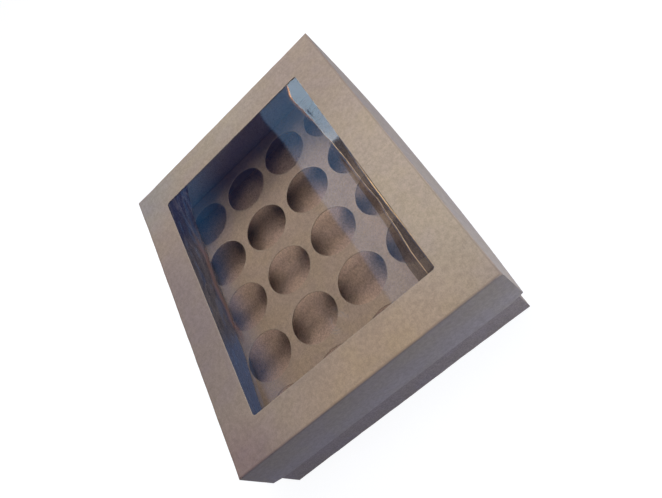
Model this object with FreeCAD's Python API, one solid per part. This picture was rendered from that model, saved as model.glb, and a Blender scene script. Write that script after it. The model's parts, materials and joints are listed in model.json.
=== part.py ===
import FreeCAD, Part
import os
from FreeCAD import Vector

# A windowed presentation box of kraft board, in millimetres, with +Z up. A shallow lid with a clear
# film window lifts off a deep tray, and a loose insert stands on the tray's floor. The insert's deck
# has rows of round holes that each hold one cup. X runs across the short sides, Y along the long
# sides, and the origin is the middle of the tray's underside.

# Outside sizes of the closed box
BOX_WIDTH = 250.0
BOX_LENGTH = 328.0
BOX_HEIGHT = 78.0
LID_DEPTH = 47.0

# How far the free edges of the lid's long walls bow out at their middles
LID_BOW = 3.8

# Board, folds and glue
BOARD = 0.6
CREASE_INSIDE = 0.4
GLUE = 0.1

# Fits, each side
LID_SIDE_CLEARANCE = 3.7
LID_END_CLEARANCE = 2.0
INSERT_CLEARANCE = 0.8
LEG_GAP = 1.5

# Corner tabs, which carry on from the long walls and are glued behind the short ones
TAB_LENGTH = 26.0
TAB_TAPER = 5.0
TAB_PANEL_MARGIN = 1.5
TAB_FREE_MARGIN = 4.0
TAB_GLUE_MARGIN = 5.0

# The free corners of the short walls are cut back, so that they don't catch
RELIEF_HEIGHT = 3.2
RELIEF_LENGTH = 11.0

# Window, from the lid's edges to the opening, and the film glued under it
WINDOW_SIDE_BORDER = 33.0
WINDOW_END_BORDER = 35.0
WINDOW_CORNER = 3.0
FILM = 0.2
FILM_LAP = 12.0
FILM_GLUE_SETBACK = 2.5
FILM_GLUE_WIDTH = 6.0

# Insert, from the tray's floor to the deck's top, and the holes in its deck
INSERT_HEIGHT = 24.4
HOLE_DIAMETER = 49.0
HOLE_LEAST_WEB = 6.0
HOLE_SIDE_MARGIN = 10.3
HOLE_END_MARGIN = 14.8

# Sizes that follow
CREASE_OUTSIDE = CREASE_INSIDE + BOARD
TRAY_WIDTH = BOX_WIDTH - 2 * (BOARD + LID_SIDE_CLEARANCE)
TRAY_LENGTH = BOX_LENGTH - 2 * (BOARD + LID_END_CLEARANCE)
TRAY_HEIGHT = BOX_HEIGHT - BOARD
INSERT_WIDTH = TRAY_WIDTH - 2 * (BOARD + INSERT_CLEARANCE)
INSERT_LENGTH = TRAY_LENGTH - 2 * (2 * BOARD + GLUE + INSERT_CLEARANCE)
DECK_TOP = BOARD + INSERT_HEIGHT
WINDOW_WIDTH = BOX_WIDTH - 2 * WINDOW_SIDE_BORDER
WINDOW_LENGTH = BOX_LENGTH - 2 * WINDOW_END_BORDER

ORIGIN = Vector(0, 0, 0)
ACROSS = Vector(1, 0, 0)
ALONG = Vector(0, 1, 0)
UP = Vector(0, 0, 1)


def slab(x, y, z):
    """A box from its (low, high) pairs along X, Y and Z."""
    size = (x[1] - x[0], y[1] - y[0], z[1] - z[0])
    return Part.makeBox(*size, Vector(x[0], y[0], z[0]))


def centred(size):
    """The (low, high) pair of a length centred on zero."""
    return (-size / 2, size / 2)


def with_rounded(solid, radius, chosen):
    """The solid with a fillet on each edge for which chosen(edge) is true."""
    return solid.makeFillet(radius, [edge for edge in solid.Edges if chosen(edge)])


def upright(edge):
    low, high = edge.BoundBox.ZMin, edge.BoundBox.ZMax
    return high - low > edge.Length / 2


def rounded_plate(width, length, corner, z):
    """A flat rectangle, centred on the Z axis, with its four corners rounded."""
    return with_rounded(slab(centred(width), centred(length), z), corner, upright)


def creased_panel(width, length):
    """A panel lying on Z = 0 whose four edges turn up through their creases, ready for the walls."""
    tall = 3 * CREASE_OUTSIDE
    outside = slab(centred(width), centred(length), (0, tall))
    outside = with_rounded(outside, CREASE_OUTSIDE, lambda edge: edge.BoundBox.ZMax < tall / 9)
    inner_width = width - 2 * BOARD
    inner_length = length - 2 * BOARD
    inside = slab(centred(inner_width), centred(inner_length), (BOARD, tall))
    inside = with_rounded(inside, CREASE_INSIDE, lambda edge: edge.BoundBox.ZMax < BOARD + tall / 9)
    folded = outside.cut(inside)
    return folded.common(slab(centred(width), centred(length), (0, CREASE_OUTSIDE)))


def side_wall(width, length, height, bow):
    """The right-hand long wall, which ends where the creases of its tabs start, bowed out by bow."""
    reach = length / 2 - BOARD - GLUE - CREASE_OUTSIDE
    x = width / 2
    if bow == 0:
        return slab((x - BOARD, x), (-reach, reach), (CREASE_OUTSIDE, height))
    crease = Part.makeLine(Vector(x, -reach, CREASE_OUTSIDE), Vector(x, reach, CREASE_OUTSIDE))
    curve = Part.BezierCurve()
    curve.setPoles([Vector(x, -reach, height), Vector(x + 2 * bow, 0, height), Vector(x, reach, height)])
    return Part.makeRuledSurface(crease, curve.toShape()).extrude(Vector(-BOARD, 0, 0))


def end_wall(width, length, height):
    """The back short wall, which covers the tabs and the ends of the long walls."""
    half = width / 2
    low = [(half, CREASE_OUTSIDE), (half, height - RELIEF_HEIGHT), (half - RELIEF_LENGTH, height)]
    outline = low + [(-x, z) for x, z in reversed(low)]
    return upright_plate(outline, length / 2 - BOARD, BOARD)


def tab_outline(start_x, low, high, margin):
    """A tab's four corners in the XZ plane, from its crease inwards, each edge set in by a margin."""
    end_x = start_x - TAB_LENGTH
    return [
        (start_x - margin, low + margin),
        (end_x + margin, low + TAB_TAPER + margin),
        (end_x + margin, high - TAB_TAPER - margin),
        (start_x - margin, high - margin),
    ]


def upright_plate(outline, y, thickness):
    """A plate that stands on edge, from its corners in the XZ plane, reaching from Y = y to higher Y."""
    points = [Vector(x, y, z) for x, z in outline]
    face = Part.Face(Part.makePolygon(points + points[:1]))
    return face.extrude(Vector(0, thickness, 0))


def flat_of_tab(width, height, margin, y, thickness):
    """The flat part of a corner tab, or with a margin the glue patch on it."""
    start_x = width / 2 - CREASE_OUTSIDE
    outline = tab_outline(start_x, CREASE_OUTSIDE + TAB_PANEL_MARGIN, height - TAB_FREE_MARGIN, margin)
    return upright_plate(outline, y, thickness)


def corner_tab(width, length, height):
    """The back right tab, with the upright crease that turns it in from the end of the long wall."""
    outer_y = length / 2 - BOARD - GLUE
    foot = Vector(width / 2 - CREASE_OUTSIDE, outer_y - CREASE_OUTSIDE, CREASE_OUTSIDE + TAB_PANEL_MARGIN)
    tall = height - TAB_FREE_MARGIN - foot.z
    crease = Part.makeCylinder(CREASE_OUTSIDE, tall, foot, UP, 90)
    crease = crease.cut(Part.makeCylinder(CREASE_INSIDE, tall, foot, UP, 90))
    return crease.fuse(flat_of_tab(width, height, 0, outer_y - BOARD, BOARD))


def glued_tray(width, length, height, bow):
    """The panels of a four-corner glued tray that stands on Z = 0, by name, with the glue patches."""
    right = side_wall(width, length, height, bow)
    back = end_wall(width, length, height)
    tab = corner_tab(width, length, height)
    patch = flat_of_tab(width, height, TAB_GLUE_MARGIN, length / 2 - BOARD - GLUE, GLUE)
    pieces = {
        "panel": creased_panel(width, length),
        "right_wall": right,
        "left_wall": right.mirror(ORIGIN, ACROSS),
        "back_wall": back,
        "front_wall": back.mirror(ORIGIN, ALONG),
        "back_right_tab": tab,
        "back_left_tab": tab.mirror(ORIGIN, ACROSS),
        "front_right_tab": tab.mirror(ORIGIN, ALONG),
        "front_left_tab": tab.mirror(ORIGIN, ALONG).mirror(ORIGIN, ACROSS),
    }
    patches = [patch, patch.mirror(ORIGIN, ACROSS)]
    patches += [one.mirror(ORIGIN, ALONG) for one in patches]
    pieces["tab_glue"] = Part.makeCompound(patches)
    return pieces


def hung_from(shape, top):
    """A shape built on Z = 0, turned upside down so that it hangs from Z = top."""
    hung = shape.mirror(ORIGIN, UP)
    hung.translate(Vector(0, 0, top))
    return hung


def tray():
    pieces = glued_tray(TRAY_WIDTH, TRAY_LENGTH, TRAY_HEIGHT, 0)
    pieces["floor"] = pieces.pop("panel")
    return {f"tray_{name}": shape for name, shape in pieces.items()}


def lid():
    pieces = glued_tray(BOX_WIDTH, BOX_LENGTH, LID_DEPTH, LID_BOW)
    through = (-BOARD, 2 * BOARD)
    opening = rounded_plate(WINDOW_WIDTH, WINDOW_LENGTH, WINDOW_CORNER, through)
    pieces["top"] = pieces.pop("panel").cut(opening)
    return {f"lid_{name}": hung_from(shape, BOX_HEIGHT) for name, shape in pieces.items()}


def window():
    """The film under the lid's opening, and the line of glue around it."""
    glue_top = BOX_HEIGHT - BOARD
    film_top = glue_top - GLUE
    film_size = (WINDOW_WIDTH + 2 * FILM_LAP, WINDOW_LENGTH + 2 * FILM_LAP)
    film = slab(centred(film_size[0]), centred(film_size[1]), (film_top - FILM, film_top))

    def outline(setback, z):
        corner = WINDOW_CORNER + setback
        return rounded_plate(WINDOW_WIDTH + 2 * setback, WINDOW_LENGTH + 2 * setback, corner, z)

    line = outline(FILM_GLUE_SETBACK + FILM_GLUE_WIDTH, (film_top, glue_top))
    line = line.cut(outline(FILM_GLUE_SETBACK, (film_top - GLUE, glue_top + GLUE)))
    return {"window_film": film, "window_film_glue": line}


def hole_places(deck, margin):
    """The centres along one side of as many holes as fit between its margins, evenly spread."""
    room = deck - 2 * margin
    count = int((room + HOLE_LEAST_WEB) / (HOLE_DIAMETER + HOLE_LEAST_WEB))
    pitch = (room - HOLE_DIAMETER) / (count - 1)
    return [(i - (count - 1) / 2) * pitch for i in range(count)]


def insert():
    """The deck, which stands on four folded legs, all of one loose board."""
    deck = hung_from(creased_panel(INSERT_WIDTH, INSERT_LENGTH), DECK_TOP)
    for x in hole_places(INSERT_WIDTH, HOLE_SIDE_MARGIN):
        for y in hole_places(INSERT_LENGTH, HOLE_END_MARGIN):
            low = Vector(x, y, DECK_TOP - 2 * BOARD)
            deck = deck.cut(Part.makeCylinder(HOLE_DIAMETER / 2, 3 * BOARD, low, UP))
    z = (BOARD, DECK_TOP - CREASE_OUTSIDE)
    corner = 2 * (CREASE_OUTSIDE + LEG_GAP)
    half_width = INSERT_WIDTH / 2
    half_length = INSERT_LENGTH / 2
    right = slab((half_width - BOARD, half_width), centred(INSERT_LENGTH - corner), z)
    back = slab(centred(INSERT_WIDTH - corner), (half_length - BOARD, half_length), z)
    return {
        "insert_deck": deck,
        "insert_right_leg": right,
        "insert_left_leg": right.mirror(ORIGIN, ACROSS),
        "insert_back_leg": back,
        "insert_front_leg": back.mirror(ORIGIN, ALONG),
    }


def main():
    os.makedirs("parts", exist_ok=True)
    for pieces in (tray(), insert(), lid(), window()):
        for name, shape in pieces.items():
            shape.exportStep(f"parts/{name}.step")


main()
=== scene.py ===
import json
import math

import bmesh
import bpy
from mathutils import Matrix, Vector, noise


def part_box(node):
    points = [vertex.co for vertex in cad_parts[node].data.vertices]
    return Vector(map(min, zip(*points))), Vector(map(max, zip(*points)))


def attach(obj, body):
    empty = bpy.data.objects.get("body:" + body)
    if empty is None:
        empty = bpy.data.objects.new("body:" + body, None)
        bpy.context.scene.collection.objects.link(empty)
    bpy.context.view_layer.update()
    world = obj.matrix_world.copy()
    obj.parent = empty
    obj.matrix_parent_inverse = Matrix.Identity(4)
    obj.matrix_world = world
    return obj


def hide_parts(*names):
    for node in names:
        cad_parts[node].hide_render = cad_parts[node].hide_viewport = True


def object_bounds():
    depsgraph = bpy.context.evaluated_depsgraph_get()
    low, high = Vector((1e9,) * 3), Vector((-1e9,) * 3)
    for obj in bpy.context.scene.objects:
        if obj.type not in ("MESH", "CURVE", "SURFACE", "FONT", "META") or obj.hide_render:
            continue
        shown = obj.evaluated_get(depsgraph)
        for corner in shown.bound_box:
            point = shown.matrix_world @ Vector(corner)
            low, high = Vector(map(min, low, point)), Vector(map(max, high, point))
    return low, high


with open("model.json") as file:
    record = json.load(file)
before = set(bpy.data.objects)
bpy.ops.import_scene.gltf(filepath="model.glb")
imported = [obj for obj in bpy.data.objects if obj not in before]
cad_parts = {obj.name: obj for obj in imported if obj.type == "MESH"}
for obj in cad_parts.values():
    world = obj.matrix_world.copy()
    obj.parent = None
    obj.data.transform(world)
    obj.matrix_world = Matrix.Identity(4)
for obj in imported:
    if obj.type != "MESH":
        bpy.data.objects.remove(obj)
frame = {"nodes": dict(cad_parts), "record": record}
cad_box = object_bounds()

# A windowed presentation box of kraft board. The lid hangs over the tray, and the insert stands in
# it. Each board is a folded sheet whose panels are separate pieces that meet at their creases.

MM = 0.001

# What the frame's boxes don't say, in metres
WINDOW_SIDE_BORDER = 33 * MM
WINDOW_END_BORDER = 35 * MM
WINDOW_CORNER = 3 * MM
HOLE_RADIUS = 24.5 * MM
TAB_TAPER = 5 * MM
RELIEF_HEIGHT = 3.2 * MM
RELIEF_LENGTH = 11 * MM

# How finely the boards are divided, and how they depart from flat
GRID = 3.2 * MM
CREASE_STEPS = 5
TAB_STEPS = 14
CREASE_REACH = 1.2 * MM
CREASE_DENT = 0.34 * MM
CORNER_QUIET = 31 * MM
WALL_LEAN = 0.45 * MM
DECK_SAG = 0.35 * MM
CUT_REACH = 0.7 * MM
SKIN = 0.02 * MM  # how deep a board's fibres are sunk in it


# ---------------- node trees

class Term:
    """A socket in a node tree. Python's operators on it add Math nodes, and node() adds any other."""

    def __init__(self, tree, socket=None):
        self.tree = tree
        self.socket = socket

    def node(self, kind, settings=None, inputs=None, output=0):
        """Adds a node, its settings first and then its inputs, and returns one of its outputs."""
        made = self.tree.nodes.new(kind)
        for name, value in (settings or {}).items():
            setattr(made, name, value)
        for name, value in (inputs or {}).items():
            if isinstance(value, Term):
                self.tree.links.new(value.socket, made.inputs[name])
            else:
                made.inputs[name].default_value = value
        return Term(self.tree, made.outputs[output]) if len(made.outputs) else Term(self.tree)

    def maths(self, operation, *values):
        return self.node("ShaderNodeMath", {"operation": operation}, dict(enumerate(values)))

    def __add__(self, other):
        return self.maths("ADD", self, other)

    def __radd__(self, other):
        return self.maths("ADD", other, self)

    def __sub__(self, other):
        return self.maths("SUBTRACT", self, other)

    def __rsub__(self, other):
        return self.maths("SUBTRACT", other, self)

    def __mul__(self, other):
        return self.maths("MULTIPLY", self, other)

    def __rmul__(self, other):
        return self.maths("MULTIPLY", other, self)

    def __truediv__(self, other):
        return self.maths("DIVIDE", self, other)

    def __pow__(self, other):
        return self.maths("POWER", self, other)

    def step(self, low, high):
        """0 up to low and 1 from high on, with a smooth rise between them. Low may be the larger."""
        names = {"Value": self, "From Min": low, "From Max": high}
        return self.node("ShaderNodeMapRange", {"interpolation_type": "SMOOTHSTEP"}, names)

    def within(self, low, high, soft):
        """1 between low and high, and 0 outside, with edges that are soft metres wide."""
        return self.step(low - soft / 2, low + soft / 2) * self.step(high + soft / 2, high - soft / 2)

    def blend(self, low, high):
        """The colour low where this value is 0, and high where it is 1."""
        ends = {0: self, 6: low, 7: high}
        return self.node("ShaderNodeMix", {"data_type": "RGBA"}, ends, output=2)


def rgb(red, green, blue):
    return (red, green, blue, 1.0)


WHITE = rgb(1, 1, 1)


def new_material(name):
    """An empty material, and a Term to build it from."""
    material = bpy.data.materials.new(name)
    material.use_nodes = True
    material.node_tree.nodes.clear()
    return material, Term(material.node_tree)


def finish_material(material, surface):
    surface.node("ShaderNodeOutputMaterial", {}, {"Surface": surface})
    return material


def painted(material, start, inputs):
    """Finishes a material with one Principled shader."""
    return finish_material(material, start.node("ShaderNodeBsdfPrincipled", {}, inputs))


def mixed_shader(share, first, second):
    return first.node("ShaderNodeMixShader", {}, {0: share, 1: first, 2: second})


def bumped(height, strength, depth):
    """A normal for relief that is too fine to model, depth metres deep."""
    return height.node("ShaderNodeBump", {}, {"Strength": strength, "Distance": depth, "Height": height})


def stretched(start, sizes):
    """Object coordinates divided by a size along X, Y and Z, in metres."""
    place = start.node("ShaderNodeTexCoord", output="Object")
    scale = tuple(1 / size for size in sizes)
    return place.node("ShaderNodeMapping", {"vector_type": "POINT"}, {"Vector": place, "Scale": scale})


def separated(start):
    """The X, Y and Z of the object coordinates, in millimetres."""
    place = start.node("ShaderNodeTexCoord", output="Object")
    parts = start.node("ShaderNodeSeparateXYZ", {}, {"Vector": place}).socket.node.outputs
    return [Term(start.tree, part) / MM for part in parts]


def grain(start, size, detail=2.0, stretch=(1, 1, 1)):
    """Even noise, from about 0 to 1, whose blotches are about size metres wide."""
    place = stretched(start, [size * s for s in stretch])
    return place.node("ShaderNodeTexNoise", {}, {"Vector": place, "Scale": 1.0, "Detail": detail})


def attribute(start, name, output="Fac"):
    return start.node("ShaderNodeAttribute", {"attribute_name": name}, output=output)


# ---------------- finishes

def tinted(colour, factor, tint):
    """A colour times a tint, as far as the factor says."""
    settings = {"data_type": "RGBA", "blend_type": "MULTIPLY"}
    return colour.node("ShaderNodeMix", settings, {0: factor, 6: colour, 7: tint}, output=2)


def on_lid_top(z, inner):
    """1 on the lid's top and 0 below it."""
    return z.step(76.8, 77.6)


def on_floor(z, inner):
    """1 on the floor inside the tray and 0 above it."""
    return inner * z.step(2, 1)


def on_deck(z, inner):
    """1 on the upper face of the insert's deck and 0 elsewhere on the insert."""
    return (1.0 - inner) * z.step(21, 22)


def kraft_board(name, pale, dark, wear, outer_painted_shade=WHITE, inner_painted_shade=WHITE, floor_painted_light=WHITE,
                fineness=0.0, painted_light_patches=(), painted_light_face=on_lid_top, front_painted_light_and_shade=()):
    """Uncoated kraft board: soft mottle, fibres along Y, dark flecks, and creases that have browned.

    Its outer face and its inner face take tints of painted shade, the floor inside a tray a tint of
    painted light, and the finer the pulp, the smaller its mottle. The patches hold (tint, centre, reach)
    of each patch of painted light and shade on one face, lighter or darker, centre and reach being (X, Y)
    in millimetres. The front tints, those of the front wall's lower and upper edge, are painted light and
    shade: paler and bluer at the lower edge, darker and warmer at the upper edge.
    """
    material, start = new_material(name)
    cloud = grain(start, 35 * MM)
    mottle = grain(start, 3.2 * MM, 3.0)
    speckle = grain(start, 1.1 * MM, 3.0)
    fibre = grain(start, 0.5 * MM, 2.0, stretch=(1, 7, 1))
    coarse = 1.0 - 0.65 * fineness
    fine = 1.0 + 0.6 * fineness
    mixed = (cloud * 0.10 + mottle * 0.36) * coarse + (speckle * 0.34 + fibre * 0.20) * fine
    board = mixed.step(0.34, 0.66).blend(dark, pale)
    hue = grain(start, 22 * MM, 1.0).step(0.35, 0.65)
    board = tinted(board, 1.0, hue.blend(rgb(1.008, 1.0, 0.975), rgb(0.992, 0.985, 1.02)))
    x, y, z = separated(start)
    inner = attribute(start, "inner")
    # Painted shade: the outer and inner faces take tints that darken and cool them.
    board = tinted(board, 1.0, inner.blend(outer_painted_shade, inner_painted_shade))
    # Painted light: the floor inside a tray is made paler and warmer.
    board = tinted(board, on_floor(z, inner), floor_painted_light)
    # Painted light and shade: patches that make parts of one face paler and others darker.
    for tint, centre, reach in painted_light_patches:
        across = (x - centre[0]) / reach[0]
        along = (y - centre[1]) / reach[1]
        distance = (across * across + along * along) ** 0.5
        board = tinted(board, distance.step(1.0, 0.2) * painted_light_face(z, inner), tint)
    # Painted light and shade on the front wall: paler and bluer towards its lower edge, darker and warmer
    # towards its crease.
    if front_painted_light_and_shade:
        board = tinted(board, y.step(-162.8, -163.8), z.step(32, 74).blend(*front_painted_light_and_shade))

    cells = stretched(start, [2.6 * MM] * 3)
    fleck = cells.node("ShaderNodeTexVoronoi", {}, {"Vector": cells, "Scale": 1.0})
    chosen = grain(start, 3.1 * MM, 1.0).step(0.56, 0.62)
    board = (fleck.step(0.13, 0.05) * chosen * 0.5).blend(board, rgb(0.10, 0.06, 0.035))

    crease = attribute(start, "crease") + (mottle - 0.5) * 0.5
    frayed = crease.step(0.55, 1.05) * (0.6 + 0.4 * speckle.step(0.35, 0.65))
    board = (frayed * wear).blend(board, rgb(0.16, 0.085, 0.055))
    cut = attribute(start, "cut") * (0.25 + 0.5 * speckle.step(0.3, 0.7))
    board = cut.blend(board, rgb(0.52, 0.40, 0.27))
    return painted(material, start, {
        "Base Color": board,
        "Roughness": 0.62 + 0.2 * speckle,
        "Specular IOR Level": 0.25,
        "Normal": bumped(speckle * 0.45 + fibre * 0.35 + mottle * 0.2, 0.35, 0.12 * MM),
    })


def cut_edge(name, pale, dark):
    """The pulp that a knife leaves bare on a board's edge: paler, in thin plies, with frayed fibres."""
    material, start = new_material(name)
    plies = grain(start, 0.16 * MM, 1.0, stretch=(12, 12, 1))
    fray = grain(start, 1.1 * MM, 3.0)
    return painted(material, start, {
        "Base Color": (plies * 0.5 + fray * 0.5).step(0.35, 0.65).blend(dark, pale),
        "Roughness": 0.8 + 0.1 * fray,
        "IOR": 1.4,
        "Normal": bumped(fray + plies * 0.5, 0.5, 0.1 * MM),
    })


def dried_glue(name):
    """A clear, slightly amber film of dried glue with dull streaks in it."""
    material, start = new_material(name)
    streak = grain(start, 1.5 * MM, 2.0, stretch=(1, 4, 4))
    return painted(material, start, {
        "Base Color": streak.step(0.3, 0.7).blend(rgb(0.50, 0.38, 0.22), rgb(0.72, 0.62, 0.44)),
        "Roughness": 0.2 + 0.3 * streak,
        "Alpha": 0.5 + 0.3 * streak,
        "IOR": 1.5,
        "Normal": bumped(streak, 0.4, 0.05 * MM),
    })


def ring_marks(start, ripple):
    """Faint rings that something has rubbed into the film about one place."""
    place = start.node("ShaderNodeTexCoord", output="Object")
    middle = (8 * MM, -110 * MM, 77.3 * MM)
    away = place.node("ShaderNodeVectorMath", {"operation": "DISTANCE"}, {0: place, 1: middle}, "Value")
    rings = start.maths("SINE", away / (0.4 * MM) + ripple * 4.0).step(0.2, 0.9)
    return rings * away.within(3 * MM, 11 * MM, 4 * MM) * grain(start, 7 * MM, 1.0).step(0.45, 0.6)


def clear_film(name):
    """Clear film: mirrors more as it turns edge on, dull where creased, with painted reflection, shade
    and glints.
    """
    material, start = new_material(name)
    ripple = grain(start, 30 * MM, 1.0, stretch=(1, 3, 1))
    fine = grain(start, 4 * MM, 1.0, stretch=(1, 8, 1))
    bump = bumped(ripple + fine * 0.05, 0.2, 0.25 * MM)
    tilt = start.node("ShaderNodeLayerWeight", {}, {"Blend": 0.5, "Normal": bump}, output="Facing")
    clear = start.node("ShaderNodeBsdfTransparent", {}, {"Color": rgb(0.985, 0.985, 0.98)})
    scuffs = grain(start, 1.2 * MM, 2.0, stretch=(1, 9, 1))
    rings = ring_marks(start, ripple)
    # Its dullness and its painted reflection, shade and glints come from the film's points.
    veil_and_painted_light_amount = attribute(start, "veil") * (0.8 + 0.4 * scuffs) + rings * 0.10
    veil = start.node("ShaderNodeBsdfPrincipled", {}, {
        "Base Color": rings.blend(attribute(start, "veil_colour", "Color"), rgb(0.6, 0.6, 0.62)),
        "Roughness": 0.6,
        "Specular IOR Level": 0.1,
    })
    gloss = start.node("ShaderNodeBsdfGlossy", {}, {"Color": WHITE, "Roughness": 0.03, "Normal": bump})
    mirror = 0.04 + 0.96 * tilt ** 5.0
    body = mixed_shader(veil_and_painted_light_amount, clear, veil)
    return finish_material(material, mixed_shader(mirror, body, gloss))


def painted_fold_glint(name):
    """A painted glint: the bright, faintly amber line that light makes along a sharp fold in clear film.
    """
    material, start = new_material(name)
    along = grain(start, 14 * MM, 2.0, stretch=(8, 1, 8))
    forward = separated(start)[1]
    amber = (forward + along * 20).step(30, 85)
    return painted(material, start, {
        "Base Color": amber.blend(rgb(1.0, 0.66, 0.33), rgb(0.98, 0.50, 0.24)),
        "Roughness": 0.55 + 0.2 * along,
        "Specular IOR Level": 0.1,
        "Alpha": (along - 0.15) * 2.2,
    })


def fibre_finish(name):
    """The dark, woody fibres that kraft pulp keeps."""
    material, start = new_material(name)
    tone = grain(start, 5 * MM, 1.0).step(0.3, 0.7)
    colour = tone.blend(rgb(0.09, 0.05, 0.03), rgb(0.24, 0.15, 0.09))
    return painted(material, start, {"Base Color": colour, "Roughness": 0.7 + 0.2 * tone})


# Painted light and shade on each board: the tint of each patch, its centre, and its reach along X and Y.
# The patches are light and shade that the lamps don't give: painted light and shade on the lid's top,
# painted light on the insert's deck, and dark painted shade on the tray's floor.
LID_PAINTED_LIGHT_AND_SHADE = (
    (rgb(1.32, 1.35, 1.27), (125, -50), (130, 170)),
    (rgb(0.82, 0.83, 0.94), (-125, -20), (70, 150)),
    (rgb(1.22, 1.14, 0.96), (20, -164), (120, 70)),
    (rgb(0.93, 1.06, 1.22), (-125, 164), (80, 80)),
    (rgb(0.86, 0.80, 0.91), (-125, -164), (70, 60)),
    (rgb(1.06, 1.12, 1.10), (-10, 164), (110, 60)),
)
TRAY_PAINTED_SHADE = (
    (rgb(0.28, 0.29, 0.32), (105, -45), (48, 130)),
    (rgb(0.42, 0.42, 0.46), (10, -105), (150, 34)),
)
INSERT_PAINTED_LIGHT = ((rgb(1.27, 1.24, 1.22), (72, -30), (20, 110)),)

# The lid's front tints are painted light and shade on its front wall.
LID_FINISH = kraft_board(
    "lid_kraft", rgb(0.452, 0.338, 0.238), rgb(0.325, 0.243, 0.168), 0.4,
    painted_light_patches=LID_PAINTED_LIGHT_AND_SHADE, front_painted_light_and_shade=(rgb(1.05, 1.06, 1.10), rgb(0.88, 0.87, 0.83)))
# The tray's outer and inner tints are painted shade, and its floor tint is painted light.
TRAY_FINISH = kraft_board(
    "tray_kraft", rgb(0.502, 0.361, 0.258), rgb(0.252, 0.181, 0.129), 0.6,
    outer_painted_shade=rgb(0.81, 0.82, 0.85), inner_painted_shade=rgb(0.85, 1.0, 1.10), floor_painted_light=rgb(1.55, 1.22, 1.04),
    fineness=0.8, painted_light_patches=TRAY_PAINTED_SHADE, painted_light_face=on_floor)
# The insert's inner tint is painted shade on the underside of its deck and the inside of its legs.
INSERT_FINISH = kraft_board(
    "insert_kraft", rgb(0.544, 0.385, 0.248), rgb(0.369, 0.261, 0.168), 0.6,
    inner_painted_shade=rgb(0.55, 0.66, 0.90), fineness=0.3, painted_light_patches=INSERT_PAINTED_LIGHT, painted_light_face=on_deck)
EDGE_FINISH = cut_edge("bare_pulp_edge", rgb(0.58, 0.45, 0.31), rgb(0.38, 0.28, 0.19))
GLUE_FINISH = dried_glue("dried_glue")
FILM_FINISH = clear_film("clear_film")
# A painted glint, for the bright lines along the film's folds.
FOLD_GLINT_FINISH = painted_fold_glint("creased_film_line")
FIBRE_FINISH = fibre_finish("dark_pulp_fibre")


# ---------------- sheets

def smooth(low, high, value):
    """0 up to low and 1 from high on, with a smooth rise between."""
    t = min(max((value - low) / (high - low), 0.0), 1.0)
    return t * t * (3 - 2 * t)


def waves(x, y, z):
    """Smooth noise from -1 to 1, whose waves are about 1 long."""
    return noise.noise(Vector((x, y, z)))


def grid_faces(rows):
    """Faces between rows of point numbers."""
    faces = []
    for low, high in zip(rows, rows[1:]):
        faces += [(low[k], low[k + 1], high[k + 1], high[k]) for k in range(len(low) - 1)]
    return faces


class Sheet:
    """A sheet with a face on each side and a rim wherever it ends, as one closed shell."""

    def __init__(self):
        self.face_points = []
        self.back_points = []
        self.faces = []
        self.values = {"crease": [], "cut": []}

    def point(self, face, back, crease=0.0, cut=0.0):
        self.face_points.append(face)
        self.back_points.append(back)
        self.values["crease"].append(crease)
        self.values["cut"].append(cut)
        return len(self.face_points) - 1

    def open_sides(self):
        """The directed sides that only one face has."""
        sides = [(f[k], f[(k + 1) % len(f)]) for f in self.faces for k in range(len(f))]
        known = set(sides)
        return [side for side in sides if side[::-1] not in known]

    def mesh(self, name, finishes):
        count = len(self.face_points)
        rims = [(b, a, a + count, b + count) for a, b in self.open_sides()]
        backs = [tuple(k + count for k in reversed(face)) for face in self.faces]
        mesh = bpy.data.meshes.new(name)
        mesh.from_pydata(self.face_points + self.back_points, [], self.faces + backs + rims)
        for finish in finishes:
            mesh.materials.append(finish)
        flat = 2 * len(self.faces)
        for number, polygon in enumerate(mesh.polygons):
            polygon.use_smooth = number < flat
            polygon.material_index = 0 if number < flat or len(finishes) == 1 else 1
        layers = {label: values * 2 for label, values in self.values.items()}
        layers["inner"] = [0.0] * count + [1.0] * count
        for label, values in layers.items():
            mesh.attributes.new(label, "FLOAT", "POINT").data.foreach_set("value", values)
        shell = bmesh.new()
        shell.from_mesh(mesh)
        for edge in shell.edges:
            faces = edge.link_faces
            edge.smooth = len(faces) == 2 and faces[0].smooth == faces[1].smooth
        bmesh.ops.recalc_face_normals(shell, faces=shell.faces)
        shell.to_mesh(mesh)
        shell.free()
        return mesh


def new_object(name, data):
    made = bpy.data.objects.new(name, data)
    bpy.context.scene.collection.objects.link(made)
    return made


def add_piece(name, mesh, body, slot, *nodes):
    """Shows a mesh as a piece that rides on a body and stands for the CAD nodes it replaces."""
    piece = new_object(name, mesh)
    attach(piece, body)
    if nodes:
        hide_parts(*nodes)
    return piece


def spread(low, high, size):
    """Values from low to high, evenly spaced about size apart."""
    count = max(1, round((high - low) / size))
    return [low + (high - low) * k / count for k in range(count + 1)]


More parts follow.
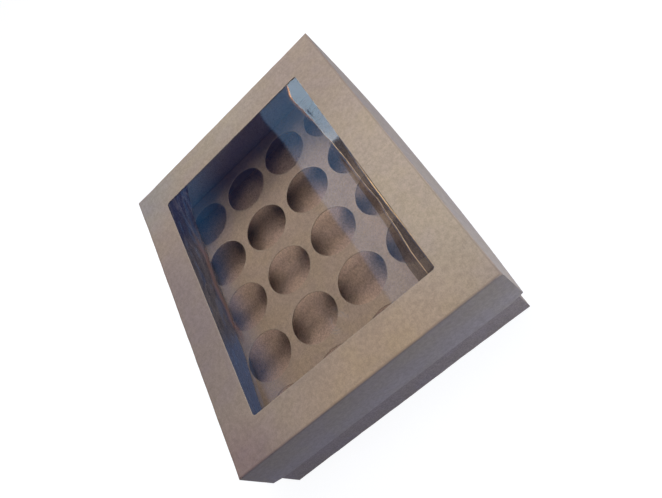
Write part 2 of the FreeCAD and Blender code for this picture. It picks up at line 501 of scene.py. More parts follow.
class FoldedBoard:
    """A board whose panel's four edges turn through creases into walls. toward is 1 if they rise."""

    def __init__(self, body, panel, kind, toward, seed, finish, relief=0.0, slack=0.0):
        self.body = body
        self.panel_name = panel
        self.walls = [f"{body}_{side}_{kind}" for side in ("right", "left", "back", "front")]
        low, high = (Vector(corner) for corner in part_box(panel))
        wall_low, wall_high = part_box(self.walls[3])
        self.half = (high.x - SKIN, high.y - SKIN)
        self.outside = high.z - low.z - SKIN
        self.flat = [half - self.outside for half in self.half]
        self.thickness = wall_high[1] - wall_low[1] - SKIN
        self.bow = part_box(self.walls[0])[1][0] - high.x
        self.relief = relief
        self.slack = slack
        self.inside = self.outside - self.thickness
        self.face_z = high.z - SKIN if toward < 0 else low.z + SKIN
        self.free_z = wall_low[2] if toward < 0 else wall_high[2]
        self.toward = toward
        self.seed = seed
        self.finishes = (finish, EDGE_FINISH)

    def sides(self):
        """(outward direction, direction along, distance out, half length along, seed) of each side."""
        for number, (axis, sign) in enumerate(((0, 1), (0, -1), (1, 1), (1, -1))):
            out = Vector((sign, 0, 0)) if axis == 0 else Vector((0, sign, 0))
            along = Vector((0, 1, 0)) if axis == 0 else Vector((1, 0, 0))
            yield out, along, self.half[axis], self.half[1 - axis], self.seed + 3.7 * number

    def dent(self, out, along_by, half_along, seed, away):
        """How far a crease is crushed inwards, at a place along it and a distance away from it."""
        quiet = smooth(half_along, half_along - CORNER_QUIET / 2, abs(along_by))
        long_wave = 0.5 * waves(along_by / (17 * MM), seed, 0.5)
        wave = 0.5 + long_wave + 0.35 * waves(along_by / (5 * MM), seed + 9, 0.5)
        depth = CREASE_DENT * max(0.0, wave) * quiet * math.exp(-((away / CREASE_REACH) ** 2))
        return (Vector((0, 0, self.toward)) - out) * depth

    def panel_shift(self, at):
        shift = Vector((0, 0, 0))
        for out, along, distance, half_along, seed in self.sides():
            away = max(0.0, distance - self.outside - at.dot(out))
            if away < 5 * CREASE_REACH:
                shift += self.dent(out, at.dot(along), half_along, seed, away)
        return shift

    def wall_shift(self, out, along_by, down, share_down, half_along, reach, seed):
        """The crease's dents, the wall's own bow out, and a little unevenness towards its free edge."""
        shift = self.dent(out, along_by, half_along, seed, down)
        if out.x:
            shift += out * self.bow * share_down * (1 - (along_by / reach) ** 2)
        middle = smooth(half_along - CORNER_QUIET, 0.0, abs(along_by))
        uneven = 0.5 + 0.5 * waves(along_by / (70 * MM), seed + 5, 0.5)
        return shift - out * (WALL_LEAN * middle * uneven * share_down)

    def sag(self, x, y):
        """How far the panel sags between its walls."""
        share_x = 1 - (x / self.half[0]) ** 2
        share_y = 1 - (y / self.half[1]) ** 2
        return self.slack * share_x * share_y

    def panel(self, plan_points, plan_faces):
        """The panel, from points and faces in plan, with a crease along each of its outer sides."""
        sheet = Sheet()
        outline = {}
        for x, y, cut in plan_points:
            at = Vector((x, y, 0))
            shift = self.panel_shift(at)
            away = min(self.flat[0] - abs(x), self.flat[1] - abs(y))
            face = Vector((x, y, self.face_z + self.toward * self.sag(x, y))) + shift
            back = face + Vector((0, 0, self.toward * self.thickness))
            number = sheet.point(face, back, smooth(2 * CREASE_REACH, 0, away), cut)
            out = Vector((0, 0, 0))
            for axis in (0, 1):
                if abs(abs(at[axis]) - self.flat[axis]) < 1e-7:
                    out[axis] = math.copysign(1, at[axis])
            if out.length:
                outline[number] = (at, out, shift)
        sheet.faces += plan_faces
        edges = [side for side in sheet.open_sides() if side[0] in outline and side[1] in outline]
        rings = [{number: number for number in outline}]
        for step in range(1, CREASE_STEPS + 1):
            turn = math.pi / 2 * step / CREASE_STEPS
            ring = {}
            for number, (at, out, shift) in outline.items():
                points = []
                for radius in (self.outside, self.inside):
                    z = self.face_z + self.toward * (self.outside - radius * math.cos(turn))
                    points.append(at + out * (radius * math.sin(turn)) + Vector((0, 0, z)) + shift)
                ring[number] = sheet.point(*points, crease=1.0)
            rings.append(ring)
        for a, b in edges:
            for low, high in zip(rings, rings[1:]):
                # Where b is point 0, the face keeps that point itself in place of the ring's
                sheet.faces.append((b and low[b], low[a], high[a], high[b]))
        return sheet

    def wall(self, node, out, along, distance, half_along, seed):
        """A wall between its crease and its free edge."""
        sheet = Sheet()
        start_z = self.face_z + self.toward * self.outside
        drop = abs(self.free_z - start_z)
        downs = [0, 0.5 * MM, 1.2 * MM, 2.2 * MM] + spread(4 * MM, drop - 1.5 * MM, GRID)
        downs += [drop - 0.7 * MM, drop - 0.3 * MM, drop]
        reach = Vector(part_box(node)[1]).dot(along)
        relief = self.relief if out.y else 0.0
        rows = []
        for level in downs:
            row = []
            for along_by in spread(-reach, reach, GRID):
                cut_back = relief * max(0.0, (abs(along_by) - reach + RELIEF_LENGTH) / RELIEF_LENGTH)
                down = level * (1 - cut_back / drop)
                shift = self.wall_shift(out, along_by, down, down / drop, half_along, reach, seed)
                z = start_z + self.toward * down
                face = out * distance + along * along_by + Vector((0, 0, z)) + shift
                crease = smooth(2 * CREASE_REACH, 0, down)
                cut = smooth(CUT_REACH, 0, drop - level)
                row.append(sheet.point(face, face - out * self.thickness, crease, cut))
            rows.append(row)
        sheet.faces = grid_faces(rows)
        return sheet

    def tab(self, node):
        """A corner tab: the upright crease at the end of a long wall, and the flat that is glued."""
        low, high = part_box(node)
        right = math.copysign(1, high[0])
        back = math.copysign(1, high[1])
        end_x, outer_x = sorted((abs(low[0]), abs(high[0])))
        outer_y = max(abs(low[1]), abs(high[1]))
        centre = Vector((outer_x - self.outside, outer_y - self.outside, 0))
        columns = []
        for step in range(CREASE_STEPS + 1):
            turn = math.pi / 2 * step / CREASE_STEPS
            way = Vector((math.cos(turn), math.sin(turn), 0))
            columns.append((centre + way * self.outside, centre + way * self.inside, 0.0, 1.0))
        for reach in spread(0, centre.x - end_x, GRID)[1:]:
            face = Vector((centre.x - reach, outer_y, 0))
            share = reach / (centre.x - end_x)
            under = face - Vector((0, self.thickness, 0))
            columns.append((face, under, share, smooth(3 * MM, 0, reach)))
        sheet = Sheet()
        rows = []
        for step in range(TAB_STEPS + 1):
            row = []
            for face, under, share, crease in columns:
                bottom = low[2] + TAB_TAPER * share
                top = high[2] - TAB_TAPER * share
                z = bottom + (top - bottom) * (step / TAB_STEPS)
                points = [Vector((p.x * right, p.y * back, z)) for p in (face, under)]
                cut = smooth(CUT_REACH, 0, min(z - bottom, top - z))
                row.append(sheet.point(*points, crease=crease, cut=cut))
            rows.append(row)
        sheet.faces = grid_faces(rows)
        return sheet

    def add(self, plan, tabs=True):
        """Adds every piece of the board, each in place of the CAD node that it is named for."""
        sheets = {self.panel_name: self.panel(*plan)}
        for node, side in zip(self.walls, self.sides()):
            sheets[node] = self.wall(node, *side)
        for corner in ("front_left", "front_right", "back_left", "back_right") if tabs else ():
            node = f"{self.body}_{corner}_tab"
            sheets[node] = self.tab(node)
        for node, sheet in sheets.items():
            mesh = sheet.mesh(node, self.finishes)
            add_piece(f"{node}_board", mesh, self.body, f"{self.body}_board", node)


# ---------------- plans of the panels

def plain_plan(half_x, half_y):
    xs = spread(-half_x, half_x, 2 * GRID)
    ys = spread(-half_y, half_y, 2 * GRID)
    points = [(x, y, 0.0) for y in ys for x in xs]
    rows = [range(first, first + len(xs)) for first in range(0, len(points), len(xs))]
    return points, grid_faces(rows)


def ring_faces(first, count, rings):
    """Faces between closed rings of count points each, whose numbers go on from first."""
    faces = []
    for low in range(first, first + (rings - 1) * count, count):
        for k in range(count):
            after = (k + 1) % count
            faces.append((low + k, low + count + k, low + count + after, low + after))
    return faces


def window_outline(corner_steps):
    """Pairs of a point on the window's edge and the point outside it on the panel's flat edge."""
    low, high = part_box("lid_top")
    edge = high[2] - low[2]
    flat = (high[0] - edge, high[1] - edge)
    hole = (high[0] - WINDOW_SIDE_BORDER, high[1] - WINDOW_END_BORDER)
    straight = (hole[0] - WINDOW_CORNER, hole[1] - WINDOW_CORNER)
    quarter = [((hole[0], y), (flat[0], y)) for y in spread(0, straight[1], GRID)[:-1]]
    for step in range(corner_steps + 1):
        turn = math.pi / 2 * step / corner_steps
        way = (math.cos(turn), math.sin(turn))
        inner = [s + WINDOW_CORNER * w for s, w in zip(straight, way)]
        share = 2 * step / corner_steps
        outer = [s + (f - s) * min(1, k) for s, f, k in zip(straight, flat, (2 - share, share))]
        quarter.append((inner, outer))
    quarter += [((x, hole[1]), (x, flat[1])) for x in reversed(spread(0, straight[0], GRID)[:-1])]
    half = quarter[:-1] + [((-a[0], a[1]), (-b[0], b[1])) for a, b in reversed(quarter)]
    whole = half[:-1] + [((-a[0], -a[1]), (-b[0], -b[1])) for a, b in half]
    return whole[:-1]


def window_plan():
    """The lid's panel in plan: rings from the window's edge out to the panel's flat edge."""
    pairs = window_outline(12)
    steps = [0, 0.008, 0.03, 0.08, 0.16, 0.26, 0.38, 0.5, 0.62, 0.74, 0.85, 0.93, 0.97, 1.0]
    points = []
    for step in steps:
        for inner, outer in pairs:
            x, y = (a + (b - a) * step for a, b in zip(inner, outer))
            points.append((x, y, smooth(0.03, 0.0, step)))
    return points, ring_faces(0, len(pairs), len(steps))


def hole_centres():
    """The centres of the deck's holes, from the openings that the record states."""
    centres = []
    for opening in frame["record"]["physics"]["openings"]:
        if opening["name"].startswith("cup_hole"):
            low, high = opening["box_m"]
            centres.append(((low[0] + high[0]) / 2, (low[1] + high[1]) / 2))
    return centres


def cell_limits(centres, flat):
    """The centres' places along one axis, and the limits of their cells, midway between neighbours."""
    places = sorted({round(c, 6) for c in centres})
    between = [(a + b) / 2 for a, b in zip(places, places[1:])]
    return places, [-flat] + between + [flat]


def deck_plan(flat_x, flat_y):
    """The deck in plan: one cell about each hole, from the hole's edge out to the cell's edge."""
    centres = hole_centres()
    xs, x_limits = cell_limits([c[0] for c in centres], flat_x)
    ys, y_limits = cell_limits([c[1] for c in centres], flat_y)
    side = 18
    steps = [0, 0.04, 0.14, 0.4, 0.7, 1.0]
    points, faces = [], []
    for centre_x, low_x, high_x in zip(xs, x_limits, x_limits[1:]):
        for centre_y, low_y, high_y in zip(ys, y_limits, y_limits[1:]):
            corners = [(low_x, low_y), (high_x, low_y), (high_x, high_y), (low_x, high_y), (low_x, low_y)]
            edge = []
            for (x, y), (next_x, next_y) in zip(corners, corners[1:]):
                edge += [(x + (next_x - x) * k / side, y + (next_y - y) * k / side) for k in range(side)]
            faces += ring_faces(len(points), len(edge), len(steps))
            for step in steps:
                for x, y in edge:
                    way = Vector((x - centre_x, y - centre_y)).normalized()
                    start = (centre_x + way.x * HOLE_RADIUS, centre_y + way.y * HOLE_RADIUS)
                    at = (start[0] + (x - start[0]) * step, start[1] + (y - start[1]) * step)
                    points.append((*at, smooth(0.1, 0.0, step)))
    return merged_plan(points, faces)


def merged_plan(points, faces):
    """The same plan with points that share a place made one."""
    known, kept, numbers = {}, [], []
    for x, y, cut in points:
        key = (round(x, 7), round(y, 7))
        if key not in known:
            known[key] = len(kept)
            kept.append((x, y, cut))
        numbers.append(known[key])
    return kept, [tuple(numbers[k] for k in face) for face in faces]


# ---------------- boards

tray = FoldedBoard("tray", "tray_floor", "wall", 1, 11.0, TRAY_FINISH, relief=RELIEF_HEIGHT)
tray.add(plain_plan(*tray.flat))

lid = FoldedBoard("lid", "lid_top", "wall", -1, 29.0, LID_FINISH, relief=RELIEF_HEIGHT)
lid.add(window_plan())

insert = FoldedBoard("insert", "insert_deck", "leg", -1, 53.0, INSERT_FINISH, slack=DECK_SAG)
insert.add(deck_plan(*insert.flat), tabs=False)


# ---------------- window film

# This part works in millimetres. Each line runs along the film, as (Y, X) from the back to the front.
OUTER_FOLD = [(131, 82), (125, 80), (113, 77.4), (104, 77.5), (84, 79.8), (66, 81.6), (46, 82.4),
              (30, 84.2), (2, 85.4), (-27, 86), (-50, 87.4), (-67, 86.5), (-83, 86), (-95, 85.2),
              (-106, 84.5), (-129, 85)]
EDGE_FOLD = [(131, 93.5), (32, 92.8), (8, 91.8), (-13, 91.0), (-33, 90.8), (-60, 90.9), (-73, 91.3),
             (-96, 91.6), (-129, 91.8)]
GLARE_END = [(131, 81), (104, 77), (81, 80), (40, 81.4), (4, 80.3), (-40, 80.8), (-69, 80.7),
             (-94, 78.3), (-112, 76.2), (-129, 76.6)]
LEFT_FOLD = [(131, -62), (109, -65.7), (80, -70), (54, -70.6), (16, -72.4), (-30, -74), (-65, -77),
             (-129, -82)]
RUST_STREAK = [(131, -74), (55, -76.5), (36, -74.8), (0, -77), (-40, -76), (-62, -73.5), (-129, -70)]
# How thick the painted glint on each fold is, as (Y, radius)
OUTER_BEAD = [(128, 0.1), (123, 0.7), (115, 0.75), (108, 0.3), (102, 0.1), (34, 0.1), (26, 0.24),
              (2, 0.24), (-12, 0.1), (-70, 0.1), (-85, 0.18), (-118, 0.26), (-128, 0.1)]
EDGE_BEAD = [(4, 0.05), (-20, 0.22), (-32, 0.5), (-68, 0.5), (-82, 0.22), (-128, 0.18)]

FILM_LOW, FILM_HIGH = (Vector(corner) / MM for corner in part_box("window_film"))
FILM_LAP = 9.5  # how wide a border of the film is held flat


def line_at(line, y):
    """Where a line is across the film at one place along it, curving smoothly between its points."""
    if y >= line[0][0]:
        return line[0][1]
    for (high, x_high), (low, x_low) in zip(line, line[1:]):
        if y >= low:
            return x_high + (x_low - x_high) * smooth(0, 1, (high - y) / (high - low))
    return line[-1][1]


def film_columns(y):
    """Places across the film, close together at its sides and closest along each fold."""
    columns = spread(FILM_LOW.x, -60, 0.9) + spread(-57, 72, 3) + spread(74, FILM_HIGH.x, 0.9)
    for line in (LEFT_FOLD, GLARE_END, OUTER_FOLD, EDGE_FOLD):
        columns += [line_at(line, y) + step for step in (-0.9, -0.5, -0.2, 0.0, 0.2, 0.5, 0.9)]
    columns.sort()
    for k in range(1, len(columns)):
        columns[k] = max(columns[k], columns[k - 1] + 0.01)
    return columns


def ridge(x, centre, width):
    """1 on a line and falling to 0 within about its width on either side."""
    return math.exp(-(((x - centre) / width) ** 2))


def film_height(x, y):
    """How far the film stands above flat: slack in its middle, and a low fold near each side."""
    half_x = FILM_HIGH.x - FILM_LAP
    half_y = FILM_HIGH.y - FILM_LAP
    held = smooth(half_x, half_x - 3, abs(x)) * smooth(half_y, half_y - 6, abs(y))
    eased = smooth(half_x, half_x - 50, abs(x)) * smooth(half_y, half_y - 60, abs(y))
    slack = -0.12 * (1 + waves(x / 90, y / 120, 2.0)) * eased
    left = line_at(LEFT_FOLD, y)
    rise = 0.02 * ridge(x, line_at(OUTER_FOLD, y), 0.9)
    rise += 0.05 * smooth(55, 30, y) * ridge(x, line_at(EDGE_FOLD, y), 0.8)
    rise += 0.05 * ridge(x, left, 1.6)
    crumpled = 0.16 * waves(x / 6, y / 50, 7.0) + 0.06 * waves(x / 2.8, y / 12, 17.0)
    rise += smooth(left + 2, left - 4, x) * crumpled
    return slack + rise * held


def film_face(x, y, below=0.0):
    """The film's upper face at a place, or a point that far below it, in metres."""
    return Vector((x, y, FILM_HIGH.z + film_height(x, y) - below)) * MM


def crinkle(x, y, seed):
    """Thin wandering lines, 1 on a line and 0 away from it."""
    return smooth(0.09, 0.0, abs(waves(x, y, seed)))


def film_veil_and_painted_light(x, y):
    """How dull the film is at a place and its colour there, with painted reflection, shade and glints."""
    outer = line_at(OUTER_FOLD, y)
    glare_end = line_at(GLARE_END, y)
    left = line_at(LEFT_FOLD, y)
    rust_line = line_at(RUST_STREAK, y)
    streak = 0.5 + 0.5 * waves(x / 1.1, y / 110, 4.0)
    ripple = 0.5 + 0.5 * waves(x / 3, y / 50, 11.0)

    front = smooth(33.6, 31.6, y + 0.4 * (x - outer))
    band = smooth(outer - 0.2, outer + 0.4, x) * front
    beside = smooth(glare_end - 0.2, glare_end + 0.3, x) * smooth(outer, outer - 0.4, x) * front
    behind_fold = smooth(outer - 3, outer - 0.4, x) * smooth(outer + 0.3, outer, x)

    crinkled = smooth(left + 0.5, left - 1.5, x)
    back_part = smooth(45, 85, y)
    near_part = smooth(-46, -68, y)
    middle_part = (1 - back_part) * (1 - near_part)
    # Painted shade: dark lines along the crinkles.
    painted_crinkle_shade = crinkle(x / 4.5, y / 50, 23.0) * (1 - near_part)
    # Painted glints: pale lines along the crinkles.
    painted_crinkle_glints = crinkle(x / 6, y / 60, 31.0) * (1 - near_part)
    # Painted reflection and shade: a dim blue tone beside the crinkled strip.
    painted_blue_shade = smooth(left + 18, left + 1, x) * (1 - crinkled) * smooth(30, -5, y) * smooth(-96, -60, y)

    rusty = smooth(66, 45, y) * smooth(-72, -52, y)
    beside_rust = ridge(x, rust_line - 2.6, 1.2) * rusty
    rust = ridge(x, rust_line + 0.8 * waves(y / 16, 3.0, 0.5), 1.3 + 0.9 * streak) * rusty
    veils_and_painted_light = [
        (0.01, (0.12, 0.10, 0.09)),
        (band * (0.20 + 0.24 * streak), (0.105, 0.08, 0.068)),
        (band * smooth(14, 26, y) * 0.45, (0.045, 0.038, 0.042)),
        (beside * (0.06 + 0.14 * streak), (0.08, 0.055, 0.045)),
        (beside * smooth(-85, -105, y) * 0.3, (0.06, 0.045, 0.042)),
        (behind_fold * smooth(60, 85, y) * 0.4, (0.22, 0.11, 0.06)),
        # Over the crinkled strip on the left, the navy and blue-grey are painted reflection and shade;
        # the brown wisps in its middle are the film's own.
        (crinkled * (0.48 + 0.30 * ripple), (0.026, 0.024, 0.038)),
        (crinkled * back_part * (0.25 + 0.2 * ripple), (0.016, 0.018, 0.042)),
        (crinkled * middle_part * (0.12 + 0.28 * ripple), (0.17, 0.135, 0.105)),
        (crinkled * near_part * 0.48, (0.10, 0.115, 0.16)),
        (crinkled * smooth(94, 112, y) * 0.45, (0.012, 0.015, 0.045)),
        # Painted reflection and shade beside the crinkled strip.
        (painted_blue_shade * 0.10, (0.02, 0.035, 0.055)),
        # Painted shade along the crinkles.
        (crinkled * painted_crinkle_shade * 0.65, (0.022, 0.019, 0.026)),
        # Painted glints along the crinkles.
        (crinkled * painted_crinkle_glints * 0.14, (0.30, 0.24, 0.20)),
        (beside_rust * 0.45, (0.03, 0.022, 0.022)),
        (rust * (0.60 + 0.40 * streak), (0.155, 0.078, 0.050)),
    ]
    clear = 1.0
    colour = Vector((0, 0, 0))
    for share, tone in veils_and_painted_light:
        share = min(max(share, 0.0), 1.0)
        colour = colour * (1 - share) + Vector(tone) * share
        clear *= 1 - share
    amount = 1 - clear
    return amount, colour / max(amount, 1e-6)


def add_film():
    """The film, as a thin sheet whose slack, folds and ripples catch the light."""
    sheet = Sheet()
    amounts, colours, rows = [], [], []
    for y in spread(FILM_LOW.y, FILM_HIGH.y, 1.5):
        row = []
        for x in film_columns(y):
            row.append(sheet.point(film_face(x, y), film_face(x, y, FILM_HIGH.z - FILM_LOW.z)))
            amount, colour = film_veil_and_painted_light(x, y)
            amounts.append(amount)
            colours += [*colour, 1.0]
        rows.append(row)
    sheet.faces = grid_faces(rows)
    mesh = sheet.mesh("window_film_sheet", (FILM_FINISH,))
    mesh.attributes.new("veil", "FLOAT", "POINT").data.foreach_set("value", amounts * 2)
    mesh.attributes.new("veil_colour", "FLOAT_COLOR", "POINT").data.foreach_set("color", colours * 2)
    return add_piece("window_film_sheet", mesh, "lid", "film", "window_film")


add_film().visible_shadow = False


# ---------------- what repeats

def new_geometry_tree(name, inputs):
    """A Term to build a Geometry Nodes tree from, and one for each of its named inputs."""
    tree = bpy.data.node_groups.new(name, "GeometryNodeTree")
    tree.interface.new_socket(name="Geometry", in_out="INPUT", socket_type="NodeSocketGeometry")
    for label, value in inputs.items():
        kind = "NodeSocketInt" if isinstance(value, int) else "NodeSocketFloat"
        tree.interface.new_socket(name=label, in_out="INPUT", socket_type=kind).default_value = value
    tree.interface.new_socket(name="Geometry", in_out="OUTPUT", socket_type="NodeSocketGeometry")
    group_in = tree.nodes.new("NodeGroupInput")
    given = {label: Term(tree, group_in.outputs[label]) for label in ["Geometry", *inputs]}
    return Term(tree), given


def end_geometry_tree(geometry, finish):
    """Makes real geometry of the instances, gives it a finish and ends the tree with it."""
    real = geometry.node("GeometryNodeRealizeInstances", {}, {0: geometry})
    painted_mesh = real.node("GeometryNodeSetMaterial", {}, {"Geometry": real, "Material": finish})
    painted_mesh.node("NodeGroupOutput", {}, {0: painted_mesh})
    return geometry.tree


def made_by(tree, data, name, values):
    """The plain mesh that a Geometry Nodes tree makes of some data and values for its inputs."""
    scratch = new_object(name, data)
    modifier = scratch.modifiers.new(name, "NODES")
    modifier.node_group = tree
    for item in tree.interface.items_tree:
        if item.in_out == "INPUT" and item.name in values:
            modifier[item.identifier] = values[item.name]
    bpy.context.view_layer.update()
    ready = scratch.evaluated_get(bpy.context.evaluated_depsgraph_get())
    mesh = bpy.data.meshes.new_from_object(ready)
    scratch.modifiers.clear()
    bpy.data.objects.remove(scratch)
    mesh.name = name
    return mesh


def circle(start, steps, radius):
    inputs = {"Resolution": steps, "Radius": radius}
    return start.node("GeometryNodeCurvePrimitiveCircle", {"mode": "RADIUS"}, inputs)


def rim_tree():
    """A crushed rim about each of the points that it is given."""
    start, given = new_geometry_tree("crushed_rims", {"Radius": 0.02, "Bead": 0.0001})
    path = circle(start, 72, given["Radius"])
    profile = circle(start, 6, given["Bead"])
    ring = start.node("GeometryNodeCurveToMesh", {}, {"Curve": path, "Profile Curve": profile})
    places = {"Points": given["Geometry"], "Instance": ring}
    placed = start.node("GeometryNodeInstanceOnPoints", {}, places)
    return end_geometry_tree(placed, EDGE_FINISH)


def add_hole_rims():
    bead = 0.09 * MM
    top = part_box("insert_deck")[1][2]
    points = bpy.data.meshes.new("hole_places")
    points.from_pydata([(x, y, top - insert.sag(x, y) - bead) for x, y in hole_centres()], [], [])
    mesh = made_by(rim_tree(), points, "deck_hole_rims", {"Radius": HOLE_RADIUS + bead / 2, "Bead": bead})
    add_piece("deck_hole_rims", mesh, "insert", "insert_board")


def fibre_tree():
    """Short dark fibres strewn over a surface, lying flat on it."""
    inputs = {"Density": 1000.0, "Seed": 1, "Length": 0.002, "Thickness": 0.00005}
    start, given = new_geometry_tree("strewn_fibres", inputs)
    seed = given["Seed"]
    slenderness = given["Thickness"] / given["Length"]
    spots = {"Mesh": given["Geometry"], "Density": given["Density"], "Seed": seed}
    points = start.node("GeometryNodeDistributePointsOnFaces", {"distribute_method": "RANDOM"}, spots)
    turned = Term(start.tree, points.socket.node.outputs["Rotation"])
    line = start.node("GeometryNodeCurvePrimitiveBezierSegment", {"mode": "POSITION"}, {
        "Resolution": 4,
        "Start": (-0.5, 0, 0), "Start Handle": (-0.2, 0.16, 0),
        "End Handle": (0.2, -0.1, 0), "End": (0.5, 0.04, 0)})
    names = {"Curve": line, "Profile Curve": circle(start, 4, slenderness), "Fill Caps": True}
    fibre = start.node("GeometryNodeCurveToMesh", {}, names)
    chance = "FunctionNodeRandomValue"
    spin = start.node(chance, {"data_type": "FLOAT"}, {2: -math.pi, 3: math.pi, "Seed": seed}, 1)
    size = start.node(chance, {"data_type": "FLOAT"}, {2: 0.35, 3: 1.0, "Seed": seed + 7}, 1)
    about = start.node("ShaderNodeCombineXYZ", {}, {"Z": spin})
    turns = {"Rotation": turned, "Rotate By": about}
    faced = start.node("FunctionNodeRotateRotation", {"rotation_space": "LOCAL"}, turns)
    placed = start.node("GeometryNodeInstanceOnPoints", {}, {
        "Points": points, "Instance": fibre, "Rotation": faced, "Scale": size * given["Length"]})
    depth = start.node("ShaderNodeCombineXYZ", {}, {"Z": slenderness * -0.6})
    sunk = start.node("GeometryNodeTranslateInstances", {}, {"Instances": placed, "Translation": depth})
    return end_geometry_tree(sunk, FIBRE_FINISH)


def strewn_surface(pieces):
    """A copy of some pieces' board faces without their rims and creases, for fibres to lie on."""
    shell = bmesh.new()
    for piece in pieces:
        shell.from_mesh(bpy.data.objects[piece].data)
    layer = shell.verts.layers.float["crease"]
    away = [f for f in shell.faces if f.material_index == 1 or max(v[layer] for v in f.verts) > 0.01]
    bmesh.ops.delete(shell, geom=away, context="FACES")
    mesh = bpy.data.meshes.new("strewn_surface")
    shell.to_mesh(mesh)
    shell.free()
    mesh.materials.clear()
    return mesh


def add_fibres(body, seed, nodes):
    surface = strewn_surface([f"{node}_board" for node in nodes])
    values = {"Density": 1500.0, "Seed": seed, "Length": 1.9 * MM, "Thickness": 0.04 * MM}
    mesh = made_by(fibre_tree(), surface, f"{body}_pulp_fibres", values)
    add_piece(f"{body}_pulp_fibres", mesh, body, f"{body}_board")


add_hole_rims()
add_fibres("lid", 5, ["lid_top"] + [f"lid_{side}_wall" for side in ("front", "right", "left", "back")])
add_fibres("insert", 8, ["insert_deck"])
add_fibres("tray", 13, ["tray_floor"])


def fold_glint_tree():
    """A thin bead of painted glint along a curve, as thick at each point as the curve's radius says."""
    start, given = new_geometry_tree("fold_lines", {"Bead": 0.001})
    thickness = start.node("GeometryNodeInputRadius")
    profile = circle(start, 8, given["Bead"])
    names = {"Curve": given["Geometry"], "Profile Curve": profile, "Scale": thickness, "Fill Caps": True}
    return end_geometry_tree(start.node("GeometryNodeCurveToMesh", {}, names), FOLD_GLINT_FINISH)


def add_fold_glint(name, line, beads):
    """The painted glint on one of the film's folds, a bright line along the part that its beads cover."""
    curve = bpy.data.curves.new(name, "CURVE")
    curve.dimensions = "3D"
    places = spread(beads[-1][0], beads[0][0], 4)
    spline = curve.splines.new("POLY")
    spline.points.add(len(places) - 1)
    for point, y in zip(spline.points, places):
        radius = line_at(beads, y)
        point.co = (*film_face(line_at(line, y), y, radius * 0.4), 1.0)
        point.radius = radius
    mesh = made_by(fold_glint_tree(), curve, name, {"Bead": 1 * MM})
    add_piece(name, mesh, "lid", "film")


# Painted glints: bright lines along the film's outer fold and its fold at the window's edge.
add_fold_glint("film_outer_fold", OUTER_FOLD, OUTER_BEAD)
add_fold_glint("film_edge_fold", EDGE_FOLD, EDGE_BEAD)

for glue in ("lid_tab_glue", "tray_tab_glue", "window_film_glue"):
    node = frame["nodes"][glue]
    node.data.materials.clear()
    node.data.materials.append(GLUE_FINISH)


# ---------------- stage, light and camera

FLOOR_REACH = 6.0
CARD_ABOVE = 600 * MM  # how far the sky card hangs above the box
UPPER_LIGHT = (0.916, 0.918, 1.0)
FILL_LIGHT = (1.0, 0.95, 0.95)
# Each lamp's name, place, width, power and colour. All of them face the middle of the box.
LAMPS = (
    ("overhead", (0.1, 0.1, 1.3), 1.0, 3.36, UPPER_LIGHT),
    ("right", (0.45, 0.05, 0.9), 0.5, 1.5, UPPER_LIGHT),
    ("behind", (0.3, 0.75, 0.95), 0.6, 7.56, UPPER_LIGHT),
    ("front_right", (0.5, -0.45, 0.13), 0.2, 2.33, (0.61, 0.76, 1.0)),
    ("low_front", (0.05, -0.9, 0.15), 0.25, 0.88, (0.06, 0.16, 1.0)),
    ("low_left", (-0.9, -0.05, 0.11), 0.18, 2.2, FILL_LIGHT),
    ("low_back", (-0.1, 0.95, 0.11), 0.18, 1.5, FILL_LIGHT),
    ("low_right", (0.9, 0.1, 0.15), 0.25, 2.1, (0.29, 0.46, 1.0)),
)
MIDDLE = Vector((0, 0, 0.05))


def stage_plane(name, low, high, z, material):
    corners = [(low[0], low[1], z), (high[0], low[1], z), (high[0], high[1], z), (low[0], high[1], z)]
    mesh = bpy.data.meshes.new(name)
    mesh.from_pydata(corners, [], [(0, 1, 2, 3)])
    mesh.materials.append(material)
    plane = new_object(name, mesh)
    return plane


def seen_directly(start):
    """1 for rays from the camera, from a mirror or through glass, and 0 for light that is scattered."""
    outputs = start.node("ShaderNodeLightPath").socket.node.outputs
    names = ("Is Camera Ray", "Is Glossy Ray", "Is Transmission Ray")
    first, second, third = (Term(start.tree, outputs[name]) for name in names)
    return start.maths("MAXIMUM", start.maths("MAXIMUM", first, second), third)


def pale_floor():
    """A pale floor that shows as white but keeps a soft shadow, and scatters less light upwards."""
    material, start = new_material("pale_floor")
    shown = start.node("ShaderNodeBsdfDiffuse", {}, {"Color": rgb(0.9, 0.9, 0.9)})
    glow = start.node("ShaderNodeEmission", {}, {"Color": WHITE, "Strength": 1.18})
    dim = start.node("ShaderNodeBsdfDiffuse", {}, {"Color": rgb(0.15, 0.15, 0.18)})
    bright = mixed_shader(0.78, shown, glow)
    return finish_material(material, mixed_shader(seen_directly(start), dim, bright))


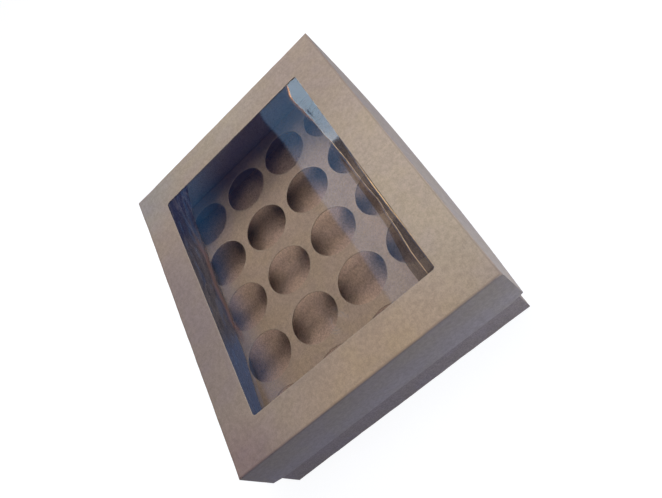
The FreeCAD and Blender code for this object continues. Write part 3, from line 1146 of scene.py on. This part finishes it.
def sky_card_finish():
    """What the film mirrors: a dim ceiling with a pale blue band, a bright patch and a blue glow."""
    material, start = new_material("sky_card")
    x, y, _ = separated(start)
    colour = y.step(500, 900).blend(rgb(0.015, 0.015, 0.03), rgb(0.05, 0.07, 0.28))
    beside = x.step(-350, -400) * x.step(-426, -412)
    colour = beside.blend(colour, rgb(0.10, 0.26, 0.62))
    glow = x.step(-412, -402) * x.step(-270, -400) * y.step(520, 760)
    colour = (glow * 0.9).blend(colour, rgb(0.10, 0.34, 0.80))
    edge = x.step(-425, -445) * y.step(470, 400)
    colour = (edge * 0.6).blend(colour, rgb(0.25, 0.38, 0.75))
    far_end = -22 - 5 * y.step(640, 560) - 10 * y.step(370, 260) - 10 * y.step(735, 820)
    near_end = -108 - 12 * y.step(720, 830) + 6 * y.step(460, 320)
    band = (x - near_end).step(-4, 4) * (x - far_end).step(2, -2)
    colour = (band * (0.55 + 0.45 * y.step(100, 700))).blend(colour, rgb(0.36, 0.70, 1.30))
    patch = (x - far_end).step(-2, 2)
    bright = (y + x * 0.4).step(608, 624)
    colour = (patch * bright).blend(colour, rgb(2.5, 3.25, 4.1))
    colour = (patch * (1.0 - bright)).blend(colour, rgb(0.10, 0.07, 0.055))
    return finish_material(material, start.node("ShaderNodeEmission", {}, {"Color": colour}))


def add_stage():
    """The floor, and a card above the box that only reflections see."""
    stage_plane("floor", (-FLOOR_REACH, -FLOOR_REACH), (FLOOR_REACH, FLOOR_REACH), 0, pale_floor())
    card_z = cad_box[1][2] + CARD_ABOVE
    card = stage_plane("sky_card", (-0.75, -0.1), (0.35, 1.0), card_z, sky_card_finish())
    for ray in ("camera", "diffuse", "shadow", "transmission"):
        setattr(card, f"visible_{ray}", False)


def add_world():
    """White where it is seen, and a dim blue sky where it only lights the object."""
    world = bpy.data.worlds.new("studio")
    bpy.context.scene.world = world
    world.use_nodes = True
    world.node_tree.nodes.clear()
    start = Term(world.node_tree)
    sky = start.node("ShaderNodeBackground", {}, {"Color": rgb(0.33, 0.55, 1.0), "Strength": 0.123})
    white = start.node("ShaderNodeBackground", {}, {"Color": WHITE, "Strength": 1.0})
    both = mixed_shader(seen_directly(start), sky, white)
    both.node("ShaderNodeOutputWorld", {}, {"Surface": both})


def add_lamp(name, place, width, power, colour):
    lamp = bpy.data.lights.new(name, "AREA")
    lamp.shape = "DISK"
    lamp.size = width
    lamp.energy = power
    lamp.color = colour
    holder = new_object(name, lamp)
    holder.location = place
    holder.rotation_euler = (MIDDLE - Vector(place)).to_track_quat("-Z", "Y").to_euler()


def add_camera():
    """The camera looks down on the near right corner and is rolled to its left."""
    place = Vector((0.1503, -0.3542, 0.4686))
    right = Vector((0.7174, -0.38782, -0.57873))
    down = Vector((-0.63939, -0.69638, -0.32594))
    ahead = Vector((-0.27661, 0.60386, -0.74755))
    data = bpy.data.cameras.new("camera")
    data.sensor_width = 36.0
    data.lens = 34.3126
    data.shift_x = 0.050
    data.shift_y = 0.0118
    camera = new_object("camera", data)
    turn = Matrix((right, -down, -ahead)).transposed()
    camera.matrix_world = Matrix.Translation(place) @ turn.to_4x4()
    bpy.context.scene.camera = camera


add_stage()
add_world()
for lamp in LAMPS:
    add_lamp(*lamp)
add_camera()
bpy.context.scene.view_settings.view_transform = "Standard"
